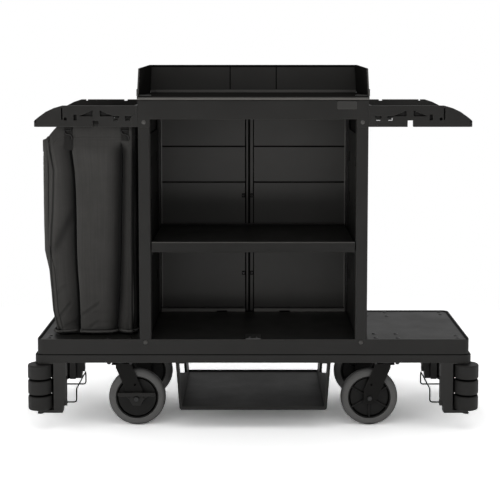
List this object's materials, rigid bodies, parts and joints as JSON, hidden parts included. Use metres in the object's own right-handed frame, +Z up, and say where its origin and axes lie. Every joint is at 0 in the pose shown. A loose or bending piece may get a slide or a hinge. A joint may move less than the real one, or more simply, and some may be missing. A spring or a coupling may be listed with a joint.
{
  "type": "housekeeping cart",
  "caption": "Moulded housekeeping cart with an open shelved cabinet, a top organizer, end racks, a hanging laundry bag, an under tray, swivel casters and roller bumpers.",
  "frame": {"origin": "centre of the cart's footprint, on the floor the wheels stand on", "axes": "+X along the cart to the end without the bag, +Y from the cabinet's open front to its back, +Z up"},
  "size_m": [1.56, 0.559, 1.258],
  "materials": {
    "frame_plastic": "fine-textured moulding",
    "panel_plastic": "satin moulding",
    "zinc_steel": "zinc plated",
    "wire": "black powder coat",
    "fork_steel": "dark powder coat",
    "wheel_plastic": "moulded",
    "tyre": "non-marking grey rubber",
    "roller_rubber": "matt rubber",
    "bag_cloth": "coated woven polyester",
    "badge": "plain bare plate"
  },
  "bodies": {
    "cart": {"platform": "frame_plastic", "left_side_panel": "frame_plastic", "right_side_panel": "frame_plastic", "front_header": "frame_plastic", "rear_header": "frame_plastic", "left_back_panel": "panel_plastic", "right_back_panel": "panel_plastic", "back_channel": "frame_plastic", "back_clips": "zinc_steel", "top_deck": "frame_plastic", "organizer": "panel_plastic", "badge_plate": "badge", "shelf_clips": "panel_plastic", "latch_strike": "zinc_steel", "frame_bolts": "zinc_steel", "left_rack": "frame_plastic", "right_rack": "frame_plastic", "laundry_bag": "bag_cloth", "bag_loops": "bag_cloth", "under_tray": "frame_plastic", "left_end_wire": "wire", "right_end_wire": "wire", "caster_plates": "zinc_steel", "caster_bolts": "zinc_steel", "bumper_pins": "zinc_steel", "front_left_bumper_bracket": "frame_plastic", "front_right_bumper_bracket": "frame_plastic", "rear_left_bumper_bracket": "frame_plastic", "rear_right_bumper_bracket": "frame_plastic"},
    "shelf": {"middle_shelf": "panel_plastic"},
    "front_left_caster": {"front_left_fork": "fork_steel", "front_left_axle": "zinc_steel"},
    "front_left_wheel": {"front_left_wheel_core": "wheel_plastic", "front_left_tyre": "tyre"},
    "front_right_caster": {"front_right_fork": "fork_steel", "front_right_axle": "zinc_steel"},
    "front_right_wheel": {"front_right_wheel_core": "wheel_plastic", "front_right_tyre": "tyre"},
    "rear_left_caster": {"rear_left_fork": "fork_steel", "rear_left_axle": "zinc_steel"},
    "rear_left_wheel": {"rear_left_wheel_core": "wheel_plastic", "rear_left_tyre": "tyre"},
    "rear_right_caster": {"rear_right_fork": "fork_steel", "rear_right_axle": "zinc_steel"},
    "rear_right_wheel": {"rear_right_wheel_core": "wheel_plastic", "rear_right_tyre": "tyre"},
    "front_left_rocker": {"front_left_brake": "frame_plastic"},
    "rear_left_rocker": {"rear_left_brake": "frame_plastic"},
    "front_left_lower_bumper": {"front_left_lower_roller": "roller_rubber"},
    "front_left_middle_bumper": {"front_left_middle_roller": "roller_rubber"},
    "front_left_upper_bumper": {"front_left_upper_roller": "roller_rubber"},
    "front_right_lower_bumper": {"front_right_lower_roller": "roller_rubber"},
    "front_right_middle_bumper": {"front_right_middle_roller": "roller_rubber"},
    "front_right_upper_bumper": {"front_right_upper_roller": "roller_rubber"},
    "rear_left_lower_bumper": {"rear_left_lower_roller": "roller_rubber"},
    "rear_left_middle_bumper": {"rear_left_middle_roller": "roller_rubber"},
    "rear_left_upper_bumper": {"rear_left_upper_roller": "roller_rubber"},
    "rear_right_lower_bumper": {"rear_right_lower_roller": "roller_rubber"},
    "rear_right_middle_bumper": {"rear_right_middle_roller": "roller_rubber"},
    "rear_right_upper_bumper": {"rear_right_upper_roller": "roller_rubber"}
  },
  "joints": [
    {"name": "shelf_slide", "type": "slide", "parent": "cart", "child": "shelf", "axis": [0, -1, 0], "range_m": [0, 0.46]},
    {"name": "front_left_swivel", "type": "hinge", "parent": "cart", "child": "front_left_caster", "pos_m": [-0.464, -0.184, 0.22], "axis": [0, 0, 1], "continuous": true},
    {"name": "front_left_roll", "type": "hinge", "parent": "front_left_caster", "child": "front_left_wheel", "pos_m": [-0.4065, -0.184, 0.1], "axis": [0, 1, 0], "continuous": true},
    {"name": "front_right_swivel", "type": "hinge", "parent": "cart", "child": "front_right_caster", "pos_m": [0.464, -0.184, 0.22], "axis": [0, 0, 1], "continuous": true},
    {"name": "front_right_roll", "type": "hinge", "parent": "front_right_caster", "child": "front_right_wheel", "pos_m": [0.4065, -0.184, 0.1], "axis": [0, 1, 0], "continuous": true},
    {"name": "rear_left_swivel", "type": "hinge", "parent": "cart", "child": "rear_left_caster", "pos_m": [-0.464, 0.184, 0.22], "axis": [0, 0, 1], "continuous": true},
    {"name": "rear_left_roll", "type": "hinge", "parent": "rear_left_caster", "child": "rear_left_wheel", "pos_m": [-0.4065, 0.184, 0.1], "axis": [0, 1, 0], "continuous": true},
    {"name": "rear_right_swivel", "type": "hinge", "parent": "cart", "child": "rear_right_caster", "pos_m": [0.464, 0.184, 0.22], "axis": [0, 0, 1], "continuous": true},
    {"name": "rear_right_roll", "type": "hinge", "parent": "rear_right_caster", "child": "rear_right_wheel", "pos_m": [0.4065, 0.184, 0.1], "axis": [0, 1, 0], "continuous": true},
    {"name": "front_left_brake_tilt", "type": "hinge", "parent": "front_left_caster", "child": "front_left_rocker", "pos_m": [-0.4065, -0.184, 0.1], "axis": [0, 1, 0], "range_deg": [0, 12]},
    {"name": "rear_left_brake_tilt", "type": "hinge", "parent": "rear_left_caster", "child": "rear_left_rocker", "pos_m": [-0.4065, 0.184, 0.1], "axis": [0, 1, 0], "range_deg": [0, 12]},
    {"name": "front_left_lower_bumper_turn", "type": "hinge", "parent": "cart", "child": "front_left_lower_bumper", "pos_m": [-0.7385, -0.238, 0.0965], "axis": [0, 0, 1], "continuous": true},
    {"name": "front_left_middle_bumper_turn", "type": "hinge", "parent": "cart", "child": "front_left_middle_bumper", "pos_m": [-0.7385, -0.238, 0.151], "axis": [0, 0, 1], "continuous": true},
    {"name": "front_left_upper_bumper_turn", "type": "hinge", "parent": "cart", "child": "front_left_upper_bumper", "pos_m": [-0.7385, -0.238, 0.2055], "axis": [0, 0, 1], "continuous": true},
    {"name": "front_right_lower_bumper_turn", "type": "hinge", "parent": "cart", "child": "front_right_lower_bumper", "pos_m": [0.7385, -0.238, 0.0965], "axis": [0, 0, 1], "continuous": true},
    {"name": "front_right_middle_bumper_turn", "type": "hinge", "parent": "cart", "child": "front_right_middle_bumper", "pos_m": [0.7385, -0.238, 0.151], "axis": [0, 0, 1], "continuous": true},
    {"name": "front_right_upper_bumper_turn", "type": "hinge", "parent": "cart", "child": "front_right_upper_bumper", "pos_m": [0.7385, -0.238, 0.2055], "axis": [0, 0, 1], "continuous": true},
    {"name": "rear_left_lower_bumper_turn", "type": "hinge", "parent": "cart", "child": "rear_left_lower_bumper", "pos_m": [-0.7385, 0.238, 0.0965], "axis": [0, 0, 1], "continuous": true},
    {"name": "rear_left_middle_bumper_turn", "type": "hinge", "parent": "cart", "child": "rear_left_middle_bumper", "pos_m": [-0.7385, 0.238, 0.151], "axis": [0, 0, 1], "continuous": true},
    {"name": "rear_left_upper_bumper_turn", "type": "hinge", "parent": "cart", "child": "rear_left_upper_bumper", "pos_m": [-0.7385, 0.238, 0.2055], "axis": [0, 0, 1], "continuous": true},
    {"name": "rear_right_lower_bumper_turn", "type": "hinge", "parent": "cart", "child": "rear_right_lower_bumper", "pos_m": [0.7385, 0.238, 0.0965], "axis": [0, 0, 1], "continuous": true},
    {"name": "rear_right_middle_bumper_turn", "type": "hinge", "parent": "cart", "child": "rear_right_middle_bumper", "pos_m": [0.7385, 0.238, 0.151], "axis": [0, 0, 1], "continuous": true},
    {"name": "rear_right_upper_bumper_turn", "type": "hinge", "parent": "cart", "child": "rear_right_upper_bumper", "pos_m": [0.7385, 0.238, 0.2055], "axis": [0, 0, 1], "continuous": true}
  ]
}
